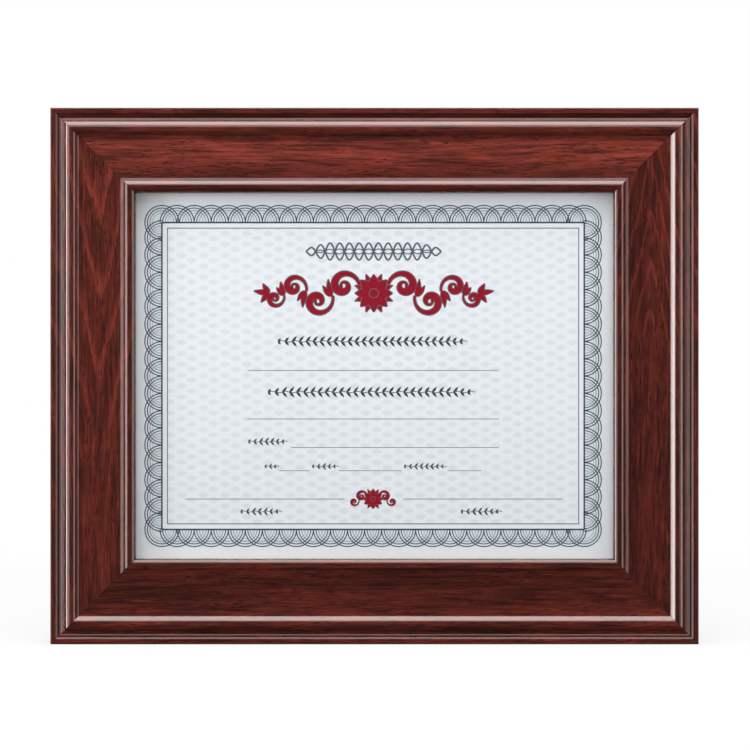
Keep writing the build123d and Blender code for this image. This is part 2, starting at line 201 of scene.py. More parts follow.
def mitred_rail(name, start, run, inward, length, finishes):
    """Carries the moulding's section along one side of the frame, from mitre to mitre.

    A point of the section at distance d in from the outer edge starts at d along the rail and ends at d
    before the rail's far corner. At each end the front is drawn back a little along its own slope, so
    two rails meet in a fine groove. The finishes are those of the foil, of the bare core and of the
    groove. The grain map is (distance along, distance round the section) / 100 mm.
    """
    groove_width, groove_depth = 0.10, 0.16
    foil_at, bare_at, groove_at = 0, 1, 2
    section, foil = moulding_outline()
    ahead = np.roll(section, -1, 0) - np.roll(section, 1, 0)
    outward = np.stack([-ahead[:, 1], ahead[:, 0]], -1) / np.linalg.norm(ahead, axis=1, keepdims=True)
    front = ((section[:, 1] > front_level) | (section[:, 0] < 0.01))[:, None]
    sunk = section - outward * groove_depth * front
    sunk[:, 1] = np.maximum(sunk[:, 1], 0)
    # Four rings: the near groove's floor and edge, and the far groove's edge and floor
    shapes = np.stack([sunk, section, section, sunk])
    near = np.stack([sunk[:, 0], section[:, 0] + groove_width])
    along = np.concatenate([near, length - near[::-1]])
    place = np.asarray(start)[None, None] + along[..., None] * np.asarray(run)
    place = place + shapes[..., :1] * np.asarray(inward)
    place[..., 1] = back_y - shapes[..., 1]
    around = len(section)
    uv = np.stack([along, np.broadcast_to(way_round(section), along.shape)], -1) / grain_span
    # Three spans between the rings: groove, rail, groove
    grooved = front[:, 0] & np.roll(front[:, 0], -1)
    in_groove = np.repeat([True, False, True], around) & np.tile(grooved, 3)
    finish = np.where(in_groove, groove_at, np.where(np.tile(foil, 3), foil_at, bare_at))
    caps = [list(range(around))[::-1], list(range(3 * around, 4 * around))]
    return build_piece(
        name,
        place.reshape(-1, 3),
        tube_faces(4, around).tolist() + caps,
        finishes,
        np.concatenate([finish, [bare_at, bare_at]]),
        crease=35,
        uv=uv.reshape(-1, 2),
    )


# Finishes


def colour(red, green, blue):
    """A colour given as it looks on a screen, 0 to 255, turned to the linear values that light uses."""
    value = np.array([red, green, blue]) / 255
    linear = np.where(value <= 0.04045, value / 12.92, ((value + 0.055) / 1.055) ** 2.4)
    return (*linear.tolist(), 1.0)


class Wire:
    """An output in a finish's node tree. Arithmetic on wires and numbers adds Math nodes."""

    def __init__(self, tree, socket=None):
        self.tree = tree
        self.socket = socket

    def node(self, kind, settings=(), sockets=(), output=0):
        """Adds a node, sets it up, fills its sockets with wires or values, and returns one output."""
        made = self.tree.nodes.new("ShaderNode" + kind)
        for key, value in dict(settings).items():
            setattr(made, key, value)
        for key, value in dict(sockets).items():
            if isinstance(value, Wire):
                self.tree.links.new(value.socket, made.inputs[key])
            else:
                made.inputs[key].default_value = value
        return Wire(self.tree, made.outputs[output])

    def math(self, operation, *values):
        """A Math node on the given wires and numbers alone."""
        return self.node("Math", {"operation": operation}, dict(enumerate(values)))

    def __add__(self, other):
        return self.math("ADD", self, other)

    def __sub__(self, other):
        return self.math("SUBTRACT", self, other)

    def __rsub__(self, other):
        return self.math("SUBTRACT", other, self)

    def __mul__(self, other):
        return self.math("MULTIPLY", self, other)

    def __truediv__(self, other):
        return self.math("DIVIDE", self, other)

    def __pow__(self, other):
        return self.math("POWER", self, other)

    def __abs__(self):
        return self.math("ABSOLUTE", self)

    __radd__ = __add__
    __rmul__ = __mul__

    def rise(self, low, high):
        """0 below low and 1 above high, with a smooth rise between; falls where low is the greater."""
        sockets = {"Value": self, "From Min": min(low, high), "From Max": max(low, high)}
        if low > high:
            sockets.update({"To Min": 1.0, "To Max": 0.0})
        return self.node("MapRange", {"interpolation_type": "SMOOTHSTEP"}, sockets)

    def tint(self, under, over):
        """Mixes two colours, with this wire as the share of the second."""
        factor, first, second, result = 0, 6, 7, 2
        sockets = {factor: self, first: under, second: over}
        return self.node("Mix", {"data_type": "RGBA"}, sockets, result)

    def noise(self, across, detail=2.0, roughness=0.5):
        """Noise at a place given by three wires or numbers."""
        place = self.node("CombineXYZ", (), dict(enumerate(across)))
        sockets = {"Vector": place, "Scale": 1.0, "Detail": detail, "Roughness": roughness}
        return self.node("TexNoise", (), sockets)


def new_finish(name, **constant):
    """A material with one Principled shader. Returns it, its node tree as a wire, and the shader."""
    finish = bpy.data.materials.new(name)
    finish.use_nodes = True
    shader = finish.node_tree.nodes["Principled BSDF"]
    for key, value in constant.items():
        shader.inputs[key.replace("_", " ")].default_value = value
    return finish, Wire(finish.node_tree), shader


def place_on(tree, scale=1 / mm):
    """The three parts of the Object coordinates, in millimetres where no other scale is given."""
    place = tree.node("TexCoord", (), (), "Object")
    return [tree.node("SeparateXYZ", (), {0: place}, part) * scale for part in range(3)]


def connect(shader, name, wire):
    """Feeds a wire to a socket of the shader."""
    wire.tree.links.new(wire.socket, shader.inputs[name])


def bump(tree, height, depth, strength):
    """The normal that a height from 0 to 1 gives, over a depth in millimetres."""
    sockets = {"Height": height, "Distance": depth * mm, "Strength": strength}
    return tree.node("Bump", (), sockets)


def wood_foil(name, seed, painted_light_shares, streaks, arches):
    """Dark red mahogany grain under a gloss coat, on the grain map: u runs along the rail, v across.

    Arched figure: bands of (u + 4.4 * hypot(v - middle, 1.5 mm)) / spacing, bent a little by slow noise,
    whose bright crests point along the rail. Its arches are None, or the first crest's place, the
    spacing, and where along the rail the figure starts and ends, all in units of the grain map.
    Elsewhere the bands are slow noise drawn out along u. Over them lie red streaks, amber patches, dark
    pores and fibres, each noise cut off at a threshold. The painted light shares are light and shade
    painted into the colour, one set for each rail: of the narrow mouldings, of the outer groove, which
    is painted shade, and of the flat panel's outer and inner edge, with painted shade towards the inner
    edge. The sight edge has a third less, as painted shade. The coat is thin on the outer sides, before
    the front.
    """
    arch_line, arch_tip, arch_slope = 27.4, 1.5, 4.4
    sight_shade, side_coat = 0.34, 0.3
    finish, tree, shader = new_finish(name, IOR=1.5, Coat_Roughness=0.09, Coat_IOR=1.6)
    shader.inputs["Specular IOR Level"].default_value = 0.4
    shader.inputs["Specular Tint"].default_value = (1.0, 0.28, 0.20, 1.0)
    grain = tree.node("UVMap", {"uv_map": "grain"})
    u = tree.node("SeparateXYZ", (), {0: grain}, 0)
    v = tree.node("SeparateXYZ", (), {0: grain}, 1)
    sway = tree.noise((u * 1.3, v * 3.0, seed), 1.0) - 0.5
    swayed = v + sway * 0.05
    slow = tree.noise((u * 1.1, swayed * 9.0, seed + 3.0), 2.0)
    patch = tree.noise((u * 1.6, swayed * 4.0, seed + 7.0), 1.0)
    fibre = tree.noise((u * 12.0, swayed * 200.0, seed + 11.0), 2.0, 0.6)
    strand = tree.noise((u * 3.5, swayed * 62.0, seed + 17.0), 2.0, 0.6)
    bright = tree.noise((u * 5.5, swayed * 75.0, seed + 23.0), 2.0, 0.6)
    pore = tree.noise((u * 18.0, swayed * 150.0, seed + 31.0), 1.0)
    amber = tree.noise((u * 3.0, swayed * 18.0, seed + 37.0), 2.0).rise(0.54, 0.72)
    bands = slow * 2.6 + strand * 0.5
    phase = bands.math("FRACT", bands)
    crest = phase.rise(0.40, 0.85) * phase.rise(1.0, 0.93) * 0.35
    if arches is not None:
        apex, spacing, first, last = arches
        off = swayed - round_at(arch_line) / grain_span
        bend = (off * off + (arch_tip / grain_span) ** 2) ** 0.5 * arch_slope
        rings = (u + bend - apex) / spacing + (slow - 0.5) * 0.9 + (strand - 0.5) * 0.25
        turn = rings.math("FRACT", rings)
        line = turn.rise(0.62, 0.90) * turn.rise(1.0, 0.94)
        window = u.rise(first, first + 0.25) * u.rise(last, last - 0.45)
        crest = crest * (1 - window) + line * window * bright.rise(0.20, 0.50)
    base = patch.rise(0.30, 0.72).tint(colour(66, 27, 21), colour(82, 34, 27))
    base = (slow.rise(0.45, 0.68) * 0.45).tint(base, colour(46, 19, 14))
    base = (strand.rise(0.38, 0.68) * 0.75).tint(base, colour(110, 44, 36))
    base = (strand.rise(0.47, 0.30) * 0.80).tint(base, colour(40, 15, 10))
    base = (amber * 0.45).tint(base, colour(120, 46, 22))
    base = (crest * 0.9).tint(base, colour(136, 56, 46))
    glow = bright.rise(0.52, 0.72) * patch.rise(0.24, 0.50)
    base = (glow * streaks).tint(base, colour(150, 60, 50))
    pored = tree.noise((u * 3.0, swayed * 14.0, seed + 41.0), 1.0).rise(0.32, 0.56)
    dark = pore.rise(0.56, 0.67) * pored
    base = (dark * 0.85).tint(base, colour(30, 11, 8))
    base = (fibre.rise(0.40, 0.70) * 0.50).tint(base, colour(34, 14, 9))
    # Shares of light painted into the colour, one set per rail: painted light and painted shade
    trim, groove_painted_light, panel, panel_inner = painted_light_shares
    place = v * grain_span

    def past(near, far):
        """Rises between two distances in from the outer edge in mm, and falls where near is greater."""
        return place.rise(round_at(near), round_at(far))

    # Painted light on the flat panel, falling to painted shade towards its inner edge
    on_panel = past(16.6, 20.5) * past(39.3, 38.8)
    painted_light = trim + on_panel * (panel - trim) + on_panel * past(26.0, 37.5) * (panel_inner - panel)
    # Painted shade in the outer groove, and at the sight edge
    sunk = past(2.6, 3.9) * past(6.0, 5.4)
    painted_light = painted_light * (1 - sunk * (1 - groove_painted_light)) * (1 - past(43.2, 44.4) * sight_shade)
    # The painted light and shade scale the grain's colour
    shade = tree.node("HueSaturation", (), {"Saturation": 1.0, "Value": painted_light, "Color": base})
    connect(shader, "Base Color", shade)
    front = place.rise(round_at(0.0) - 0.8, round_at(0.0) + 0.3)
    connect(shader, "Coat Weight", side_coat + front * (1 - side_coat))
    connect(shader, "Roughness", 0.46 - fibre * 0.10 + dark * 0.15)
    connect(shader, "Normal", bump(tree, fibre * 0.25 - dark * 0.9 + strand * 0.2, 0.03, 0.4))
    return finish


def raw_fibreboard():
    """Bare pressed fibre where the foil stops: tan, with short pale and dark fibres."""
    finish, tree, shader = new_finish("raw_fibreboard", IOR=1.4)
    x, y, z = place_on(tree)
    cloud = tree.noise((x * 0.08, y * 0.3, z * 0.08), 3.0)
    fleck = tree.noise((x * 2.2, y * 2.2, z * 2.2), 3.0, 0.7)
    base = cloud.rise(0.3, 0.7).tint(colour(150, 112, 76), colour(176, 137, 96))
    base = (fleck.rise(0.52, 0.72) * 0.6).tint(base, colour(206, 170, 128))
    base = (fleck.rise(0.46, 0.28) * 0.6).tint(base, colour(104, 74, 50))
    connect(shader, "Base Color", base)
    connect(shader, "Roughness", 0.72 + fleck * 0.25)
    connect(shader, "Normal", bump(tree, fleck, 0.2, 0.5))
    return finish


def mitre_groove():
    """The dark, unvarnished edge of the foil inside a mitre's groove."""
    finish, tree, shader = new_finish("mitre_groove", IOR=1.4)
    x, y, z = place_on(tree)
    fleck = tree.noise((x * 3.0, y * 3.0, z * 3.0), 2.0)
    connect(shader, "Base Color", fleck.rise(0.3, 0.7).tint(colour(24, 11, 9), colour(48, 22, 17)))
    connect(shader, "Roughness", 0.7 + fleck * 0.2)
    return finish


def clear_glass():
    """A thin clear pane: nothing but its own mirror shows, weak ahead and strong at a slant."""
    white = (1, 1, 1, 1)
    finish, tree, shader = new_finish("clear_glass", Base_Color=white, Metallic=1.0, Roughness=0.02)
    mirror = tree.node("Fresnel", (), {"IOR": 1.5})
    away = tree.node("NewGeometry", (), (), "Backfacing")
    connect(shader, "Alpha", mirror * (1 - away))
    return finish


def printed_paper():
    """White certificate stock with its printed tints.

    With x and z in millimetres from the middle of the border: outside the ruled rectangle, a pale
    blue-green band as deep as the scallops. Inside it, lens-shaped dashes on two interleaved lattices: a
    dash is where |z| < 1.5 mm - 0.17 * x^2, measured from the nearest lattice point.
    """
    band_depth, band_edge = 8.6, 0.6
    lattices = ((7.91, 3.75), (2.21, 0.44))
    half_pitch_x, half_pitch_z = 6.085, 3.055
    finish, tree, shader = new_finish("printed_paper", IOR=1.45, Roughness=0.62)
    x, y, z = place_on(tree)
    x = x - border_middle[0]
    z = z - middle_z - border_middle[1]
    out_x = abs(x) - rule_half_width
    out_z = abs(z) - rule_half_height
    past_x = out_x.math("MAXIMUM", out_x, 0.0)
    past_z = out_z.math("MAXIMUM", out_z, 0.0)
    past = (past_x * past_x + past_z * past_z) ** 0.5
    band = past.rise(0.05, 0.3) * past.rise(band_depth, band_depth - band_edge)
    inside = out_x.math("MAXIMUM", out_x, out_z).rise(-3.3, -3.6)
    lenses = []
    for across, up in lattices:
        near_x = x.math("WRAP", x - across, half_pitch_x, -half_pitch_x)
        near_z = z.math("WRAP", z - up, half_pitch_z, -half_pitch_z)
        half = 1.5 - near_x * near_x * 0.17
        lenses.append((half - abs(near_z)).rise(-0.35, 0.35))
    dashes = lenses[0] + lenses[1]
    cloud = tree.noise((x * 0.03, y, z * 0.03), 2.0)
    fibre = tree.noise((x * 1.6, y, z * 1.6), 3.0, 0.6)
    base = fibre.rise(0.35, 0.65).tint(colour(236, 240, 245), colour(240, 244, 249))
    base = (dashes * inside * (0.55 + cloud * 0.7)).tint(base, colour(225, 231, 236))
    base = (band * 0.55).tint(base, colour(222, 233, 238))
    connect(shader, "Base Color", base)
    connect(shader, "Normal", bump(tree, fibre, 0.02, 0.4))
    return finish


def ink(name, shade, wear=0.12):
    """Printing ink that lets a little of the paper's grain through."""
    finish, tree, shader = new_finish(name, IOR=1.25, Roughness=0.55)
    x, y, z = place_on(tree)
    fleck = tree.noise((x * 4.0, y, z * 4.0), 2.0)
    worn = tuple(0.75 * part + 0.25 * white for part, white in zip(shade, colour(236, 241, 246)))
    connect(shader, "Base Color", (fleck.rise(0.45, 0.75) * wear).tint(shade, worn))
    return finish


def papered_board(name, node, seed):
    """Fibreboard faced with black paper: mottled, with a fine tooth, and brown fibre at the cut edges.

    What lies within 0.1 mm of the node's front or back is paper, and deeper than 0.25 mm it is fibre.
    """
    finish, tree, shader = new_finish(name, IOR=1.4)
    x, y, z = place_on(tree)
    low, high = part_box(node)
    middle_y, half_depth = (low.y + high.y) / 2 / mm, (high.y - low.y) / 2 / mm
    flat = abs(y - middle_y).rise(half_depth - 0.25, half_depth - 0.1)
    cloud = tree.noise((x * 0.05 + seed, y * 0.05, z * 0.05), 3.0, 0.6)
    tooth = tree.noise((x * 1.8 + seed, y * 1.8, z * 0.9), 3.0, 0.65)
    lint = tree.noise((x * 0.9, y, z * 6.0 + seed), 1.0).rise(0.70, 0.78)
    black = cloud.rise(0.3, 0.7).tint(colour(33, 33, 35), colour(48, 47, 48))
    black = (tooth.rise(0.5, 0.75) * 0.35).tint(black, colour(72, 70, 70))
    black = (lint * 0.25).tint(black, colour(96, 92, 90))
    brown = tooth.rise(0.3, 0.7).tint(colour(112, 82, 56), colour(160, 124, 88))
    connect(shader, "Base Color", flat.tint(brown, black))
    connect(shader, "Roughness", 0.62 + tooth * 0.25)
    connect(shader, "Normal", bump(tree, tooth, 0.08, 0.5))
    return finish


def plated_steel(name, shade, dull, brush):
    """Plated steel: cloudy plating, fine brush marks along one way, and small darker specks."""
    finish, tree, shader = new_finish(name, Metallic=1.0)
    x, y, z = place_on(tree)
    cloud = tree.noise((x * 0.45, y * 0.45, z * 0.45), 3.0, 0.6)
    marks = tree.noise((x * brush[0], y * brush[1], z * brush[2]), 2.0, 0.6)
    speck = tree.noise((x * 2.6, y * 2.6, z * 2.6), 1.0).rise(0.68, 0.76)
    dark = tuple(0.72 * part for part in shade[:3]) + (1.0,)
    base = cloud.rise(0.3, 0.7).tint(dark, shade)
    base = (marks.rise(0.4, 0.7) * 0.25).tint(base, colour(236, 236, 238))
    base = (speck * 0.5).tint(base, colour(112, 108, 102))
    connect(shader, "Base Color", base)
    connect(shader, "Roughness", dull + cloud * 0.14 + marks * 0.10)
    connect(shader, "Normal", bump(tree, marks, 0.02, 0.5))
    return finish


def grey_card():
    """Recycled card: grey, with paler and darker fibres."""
    finish, tree, shader = new_finish("grey_card", IOR=1.4)
    x, y, z = place_on(tree)
    fleck = tree.noise((x * 1.5, y * 1.5, z * 1.5), 3.0, 0.7)
    base = fleck.rise(0.3, 0.7).tint(colour(128, 124, 118), colour(178, 174, 166))
    connect(shader, "Base Color", base)
    connect(shader, "Roughness", 0.8 + fleck * 0.15)
    connect(shader, "Normal", bump(tree, fleck, 0.1, 0.4))
    return finish


# The printing on the sheet, drawn as thin raised strokes of ink. Places are (across, up) from the
# sheet's middle and levels are heights above the paper, all in millimetres

border_middle = np.array([-0.8, 0.0])
rule_half_width = 118.4
rule_half_height = 86.05
scallop_radius = 9.6
ink_foot = -0.01
pale_ink_level = 0.012
rule_level = 0.03
dark_ink_level = 0.048
top_ink_level = 0.086
level_step = 0.012
arc_points = 17
leaf_points = 13
scroll_points = 41


def strokes(paths, widths, levels, closed=False):
    """Ink strokes of one point count, with their paths as an array (stroke, point, 2).

    Each ring of a stroke has four points: half the width to either side of the path, square to the run
    through its neighbours, just inside the paper and at the stroke's level. Returns points and faces.
    """
    paths = np.asarray(paths, float)
    many, count = paths.shape[:2]
    widths = np.broadcast_to(np.asarray(widths, float), (many, count))
    levels = np.broadcast_to(np.asarray(levels, float), (many, count))
    if closed:
        run = np.roll(paths, -1, 1) - np.roll(paths, 1, 1)
    else:
        run = np.gradient(paths, axis=1)
    run /= np.linalg.norm(run, axis=2, keepdims=True)
    side = np.stack([-run[..., 1], run[..., 0]], -1) * widths[..., None] / 2
    flat = np.stack([paths - side, paths + side, paths + side, paths - side], 2)
    height = np.stack([np.full(levels.shape, ink_foot)] * 2 + [levels] * 2, 2)
    points = np.stack([flat[..., 0], sheet_front_y - height, middle_z + flat[..., 1]], -1)
    faces = tube_faces(count, 4, closed)
    start = np.arange(many)[:, None, None] * count * 4
    faces = (faces[None] + start).reshape(-1, 4)
    if not closed:
        caps = np.array([[3, 2, 1, 0], np.arange(4) + 4 * (count - 1)])
        faces = np.concatenate([faces, (caps[None] + start).reshape(-1, 4)])
    return points.reshape(-1, 3), faces


def print_piece(name, groups, finish):
    """Joins groups of strokes into one piece of ink that lies on the sheet."""
    points = [group[0] for group in groups]
    starts = np.cumsum([0] + [len(group) for group in points[:-1]])
    faces = np.concatenate([group[1] + start for group, start in zip(groups, starts)])
    piece = build_piece(name, np.concatenate(points), faces.tolist(), [finish])
    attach(piece, "root")


def scallop_places():
    """The scallops' centres on the ruled rectangle, and the angles that each arc runs between.

    Along a side the first centre is 8.52 mm from the corner and the others are evenly spaced. A side's
    scallop is the half circle outside the rectangle, a corner's is three quarters. Neighbours take
    different levels, so that no two strokes lie in one plane where they cross.
    """
    first_gap, columns, rows = 8.52, 24, 17
    w, h = rule_half_width, rule_half_height
    across = np.linspace(first_gap - w, w - first_gap, columns)
    up = np.linspace(first_gap - h, h - first_gap, rows)
    sides = [(across, h, 0, 180), (across, -h, 180, 360), (w, up, -90, 90), (-w, up, 90, 270)]
    places = [np.stack(np.broadcast_arrays(*side), -1) for side in sides]
    corners = [[w, h, -90, 180], [-w, h, 0, 270], [-w, -h, 90, 360], [w, -h, 180, 450]]
    order = [np.arange(count) % 3 for count in (columns, columns, rows, rows)] + [np.full(4, 3)]
    return np.concatenate(places + [np.array(corners, float)]), np.concatenate(order)


def scallop_strokes(inset, width, level):
    """One line of every scallop: centre + radius * (cos, sin), with the angle from start to end."""
    places, order = scallop_places()
    share = np.linspace(0, 1, arc_points)
    angle = np.radians(places[:, 2:3] + (places[:, 3:4] - places[:, 2:3]) * share)
    ring = np.stack([np.cos(angle), np.sin(angle)], -1) * (scallop_radius - inset)
    middles = places[:, None, :2] + border_middle
    return strokes(middles + ring, width, (level + order * level_step * 0.75)[:, None])


def ruled_rectangle(inset, width, level):
    """Four strokes round the border's rectangle, drawn in by the inset."""
    w, h, e = rule_half_width - inset, rule_half_height - inset, width / 2
    ends = np.array([[[-w - e, h], [w + e, h]], [[-w - e, -h], [w + e, -h]]]) + border_middle
    posts = np.array([[[-w, -h + e], [-w, h - e]], [[w, -h + e], [w, h - e]]]) + border_middle
    return [strokes(ends, width, level), strokes(posts, width, level)]


def straight_rules(rows, width, level):
    """Level rules, each given as its start, end and height from the sheet's middle."""
    rows = np.asarray(rows, float)
    ends = np.stack([rows[:, [0, 2]], rows[:, [1, 2]]], 1)
    return strokes(ends, width, level)


def leaf_paths(roots, angles, length, bend):
    """Leaves from their roots: straight out along each angle, bent sideways by bend * t^2."""
    t = np.linspace(0, 1, leaf_points)
    angle = np.radians(np.asarray(angles, float))
    many = len(angle)
    out = np.broadcast_to(np.asarray(length, float), many)[:, None] * t
    aside = np.broadcast_to(np.asarray(bend, float), many)[:, None] * t**2
    x = out * np.cos(angle)[:, None] - aside * np.sin(angle)[:, None]
    z = out * np.sin(angle)[:, None] + aside * np.cos(angle)[:, None]
    return np.broadcast_to(np.asarray(roots, float), (many, 2))[:, None] + np.stack([x, z], -1)


def leaf_widths(width):
    """A leaf's width from its root to its tip: narrow, full at a third, pointed."""
    t = np.linspace(0, 1, leaf_points)
    return width * (0.12 + 0.88 * np.sin(np.pi * t**0.75) ** 0.9) * (1 - 0.85 * t**6)


def leaf_garland(middle, length, height, joints, pen, level):
    """A fine garland: a gently waved stem with a pair of leaves, one up and one down, at every joint.

    With t from 0 to 1 the stem is x = length * (t - 1/2), z = 0.05 * height * sin(pi * joints * t),
    which is 0 at every joint. The pairs grow to their full size within the first three joints from
    each end.
    """
    leaf_rise = 0.006
    t = np.linspace(0, 1, joints * 6 + 1)
    stem = np.stack([length * (t - 0.5), 0.05 * height * np.sin(np.pi * joints * t)], -1)
    groups = [strokes((middle + stem)[None], pen, level)]
    place = np.arange(joints)
    roots = middle + np.stack([length * (place / joints - 0.5), 0.0 * place], -1)
    size = height * (0.34 + 0.66 * np.minimum(1, (np.minimum(place, joints - 1 - place) + 1) / 3))
    for side, rise in ((1.0, leaf_rise), (-1.0, leaf_rise + level_step)):
        leaves = leaf_paths(roots, 40 * side + 0.0 * place, 0.56 * size, 0.10 * size * side)
        groups.append(strokes(leaves, leaf_widths(0.19 * height)[None], level + rise))
    return groups


def twisted_band(middle, length, height, turns, width, level):
    """Two strands twisted together: z = +-height / 2 * fade * sin(pi * turns * t) over the length."""
    t = np.linspace(0, 1, turns * 10 + 1)
    fade = np.minimum(1, 6 * np.minimum(t, 1 - t)) ** 0.6 * 0.9 + 0.1
    wave = height / 2 * fade * np.sin(np.pi * turns * t)
    x = middle[0] + length * (t - 0.5)
    paths = np.stack([np.stack([x, middle[1] + wave], -1), np.stack([x, middle[1] - wave], -1)])
    levels = np.array([[level], [level + level_step]])
    return strokes(paths, width, levels)


def scroll_paths(eyes, sizes, ways, side):
    """Scrolls that turn in on themselves, and each one's width along its length.

    From its outer end a scroll is r = size * exp(-0.2 * angle) about its eye, while the angle runs
    through a turn and three quarters. Its way is 1 above the middle line and -1 below. The side is 1 to
    the right of the middle and -1 to its left.
    """
    t = np.linspace(0, 1, scroll_points)
    eyes, sizes, ways = np.asarray(eyes, float), np.asarray(sizes, float), np.asarray(ways, float)
    angle = 3.5 * np.pi * t[None]
    radius = sizes[:, None] * np.exp(-0.20 * angle)
    turn = ways[:, None] * (1.12 * np.pi - angle)
    x = side * (eyes[:, :1] + radius * np.cos(turn))
    z = eyes[:, 1:] + radius * np.sin(turn)
    widths = (0.10 + 0.30 * np.sin(np.pi * np.clip(t * 1.35, 0, 1)) ** 1.3)[None] * sizes[:, None]
    return np.stack([x, z], -1), widths


def outlined(main, under, paths, widths, level, edge_level, edge):
    """Lays each stroke in the main ink over a wider one of the edge's ink."""
    main.append(strokes(paths, widths, level))
    under.append(strokes(paths, np.asarray(widths) + 2 * edge, edge_level))


def rosette(main, under, middle, count, reach, breadth, edge, level):
    """A rosette: pointed leaves behind, round ones before them, and a button over the middle.

    Every leaf has a level of its own, a leaf step over the one before it, so that none share a plane
    where they overlap near the middle.
    """
    leaf_step = 0.0006
    ahead = np.arange(count) * 360.0 / count + 90.0
    behind = ahead + 180.0 / count
    stack = level + leaf_step * np.arange(count)[:, None]
    leaves = leaf_paths(middle, behind, reach, 0.0)
    outlined(main, under, leaves, leaf_widths(breadth)[None], stack + 0.005, stack, edge)
    petals = leaf_paths(middle, ahead, reach * 0.92, 0.0)
    full = leaf_widths(breadth * 1.25) * (1 + 0.5 * np.linspace(0, 1, leaf_points) ** 2)
    outlined(main, under, petals, full[None], stack + 0.015, stack + 0.010, edge)
    angle = np.linspace(0, 2 * np.pi, 25)[:-1]
    ring = np.stack([np.cos(angle), np.sin(angle)], -1) * reach * 0.105
    button = (middle + ring)[None]
    main.append(strokes(button, reach * 0.20, level + 0.022, closed=True))
    under.append(strokes(button, reach * 0.20 + 2 * edge, level + 0.020, closed=True))


def big_ornament():
    """A rosette with scrolls and leaves to both sides, in groups of the main and of the edge's ink."""
    middle = np.array([-0.4, 46.4])
    main, under = [], []
    eyes = [(17.0, 4.3), (31.5, -4.6), (44.8, 3.7), (55.6, -3.0)]
    sizes = [9.8, 9.2, 7.6, 5.8]
    ways = [1, -1, 1, -1]
    # The root's place across and up, the angle, the length and the bend of each leaf on the right
    leaf_rows = np.array(
        [
            (23.5, -1.5, 66.0, 9.5, 2.0),
            (23.5, -1.5, 34.0, 7.5, 2.0),
            (38.0, 1.0, -66.0, 9.0, -2.0),
            (38.0, 1.0, -32.0, 7.0, -2.0),
            (50.0, -0.8, 62.0, 7.5, 1.5),
            (50.0, -0.8, 28.0, 6.0, 1.5),
            (58.5, 0.0, -38.0, 7.0, -1.2),
            (58.5, 0.0, 6.0, 9.0, 0.4),
            (58.5, 0.0, 46.0, 6.5, 1.2),
        ]
    )
    roots, (angles, lengths, bends) = leaf_rows[:, :2], leaf_rows[:, 2:].T
    for side in (1.0, -1.0):
        paths, widths = scroll_paths(eyes, sizes, ways, side)
        levels = (0.038 + 0.002 * (np.arange(len(eyes)) % 2))[:, None]
        outlined(main, under, middle + paths, widths, levels, levels - 0.028, 0.5)
        turned = angles if side > 0 else 180.0 - angles
        leaves = leaf_paths(middle + roots * [side, 1.0], turned, lengths, side * bends)
        levels = (0.044 + 0.0015 * np.arange(len(leaf_rows)))[:, None]
        outlined(main, under, leaves, leaf_widths(2.7)[None], levels, levels - 0.026, 0.45)
    rosette(main, under, middle, 8, 11.6, 4.2, 0.45, 0.064)
    return main, under


def small_emblem():
    """A six-leaved rosette between two pairs of scrolls, in the same inks."""
    middle = np.array([-0.8, -68.9])
    main, under = [], []
    for side in (1.0, -1.0):
        paths, widths = scroll_paths([(6.6, 1.5), (10.6, -1.6)], [3.8, 2.9], [1, -1], side)
        levels = np.array([[0.030], [0.034]])
        outlined(main, under, middle + paths, widths * 1.1, levels, levels - 0.02, 0.22)
    rosette(main, under, middle, 6, 6.2, 2.5, 0.22, 0.045)
    return main, under


# Finishes of the rails, and the rails themselves

bare = raw_fibreboard()
groove = mitre_groove()
half_width = frame_width / 2
# Each rail's first corner, its way along, its way inwards and its length, then its grain's seed, its
# shares of painted light and shade, streaks and arches. The top rail's panel is painted lightest, and
# the grooves of the top and left rails are painted darkest.
rails = {
    "top": (
        (half_width, 0, frame_height), (-1, 0, 0), (0, 0, -1), frame_width,
        1.7, (0.86, 0.36, 1.93, 0.87), 0.36, None,
    ),
    "bottom": (
        (-half_width, 0, 0), (1, 0, 0), (0, 0, 1), frame_width,
        9.3, (1.1, 0.95, 0.75, 0.68), 0.60, None,
    ),
    "left": (
        (-half_width, 0, frame_height), (0, 0, -1), (1, 0, 0), frame_height,
        21.1, (0.78, 0.5, 0.97, 0.90), 0.62, (0.70, 0.45, -0.5, 2.0),
    ),
    "right": (
        (half_width, 0, 0), (0, 0, 1), (-1, 0, 0), frame_height,
        33.7, (0.76, 0.7, 0.74, 0.54), 0.65, (2.48, 0.29, 1.6, 3.6),
    ),
}
for side_name, (start, run, inward, length, seed, painted_light_shares, streaks, arches) in rails.items():
    foil = wood_foil(f"wood_foil_{side_name}", seed, painted_light_shares, streaks, arches)
    rail = mitred_rail(f"{side_name}_rail_dressed", start, run, inward, length, [foil, bare, groove])
    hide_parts(f"{side_name}_rail")
    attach(rail, "root")

# The sheet, and the ink on it

sheet = block(
    "printed_sheet",
    (-sheet_width / 2, sheet_front_y, middle_z - sheet_height / 2),
    (sheet_width / 2, sheet_back_y, middle_z + sheet_height / 2),
    printed_paper(),
)
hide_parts("certificate_sheet")
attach(sheet, "root")

dark_ink = ink("dark_ink", colour(56, 68, 80))
slate_ink = ink("slate_ink", colour(144, 160, 173))
pale_ink = ink("pale_ink", colour(188, 200, 211))
rule_ink = ink("rule_ink", colour(128, 136, 142))
grey_ink = ink("grey_ink", colour(88, 98, 106))
red_ink = ink("red_ink", colour(150, 10, 36), 0.04)
script_ink = ink("script_ink", colour(58, 64, 72))

print_piece(
    "scallop_lines_dark",
    [scallop_strokes(0.0, 0.60, dark_ink_level), scallop_strokes(1.46, 0.54, dark_ink_level)],
    dark_ink,
)
print_piece("scallop_lines_slate", [scallop_strokes(2.9, 0.47, pale_ink_level)], slate_ink)
print_piece("scallop_lines_pale", [scallop_strokes(4.3, 0.43, pale_ink_level)], pale_ink)
print_piece("border_rule", ruled_rectangle(0.0, 0.85, top_ink_level), dark_ink)
print_piece("inner_rule", ruled_rectangle(3.14, 0.5, rule_level), grey_ink)
